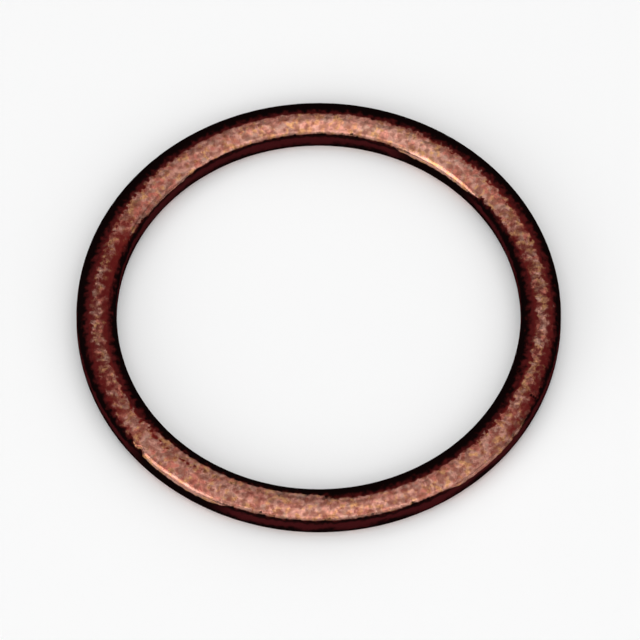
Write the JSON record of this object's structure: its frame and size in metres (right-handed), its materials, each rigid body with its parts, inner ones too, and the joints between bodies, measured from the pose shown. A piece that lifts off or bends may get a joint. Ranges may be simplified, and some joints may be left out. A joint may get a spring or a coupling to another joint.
{
  "type": "copper crush washer",
  "caption": "Round copper sealing ring with a wide bore, crowned faces and rounded bore and rim edges, squeezed flat under a plug or union to seal it.",
  "frame": {"origin": "on the ring's axis, in the plane of the lower sealing land", "axes": "+Z along the ring's axis, from the lower sealing land to the upper one; the ring is the same all round, so X and Y are free"},
  "size_m": [0.036, 0.036, 0.0025],
  "materials": {
    "copper": "annealed copper, matt and mottled on the crowns, dark and tarnished on the bore and the rim"
  },
  "bodies": {
    "root": {"crush_washer": "copper"}
  },
  "joints": []
}
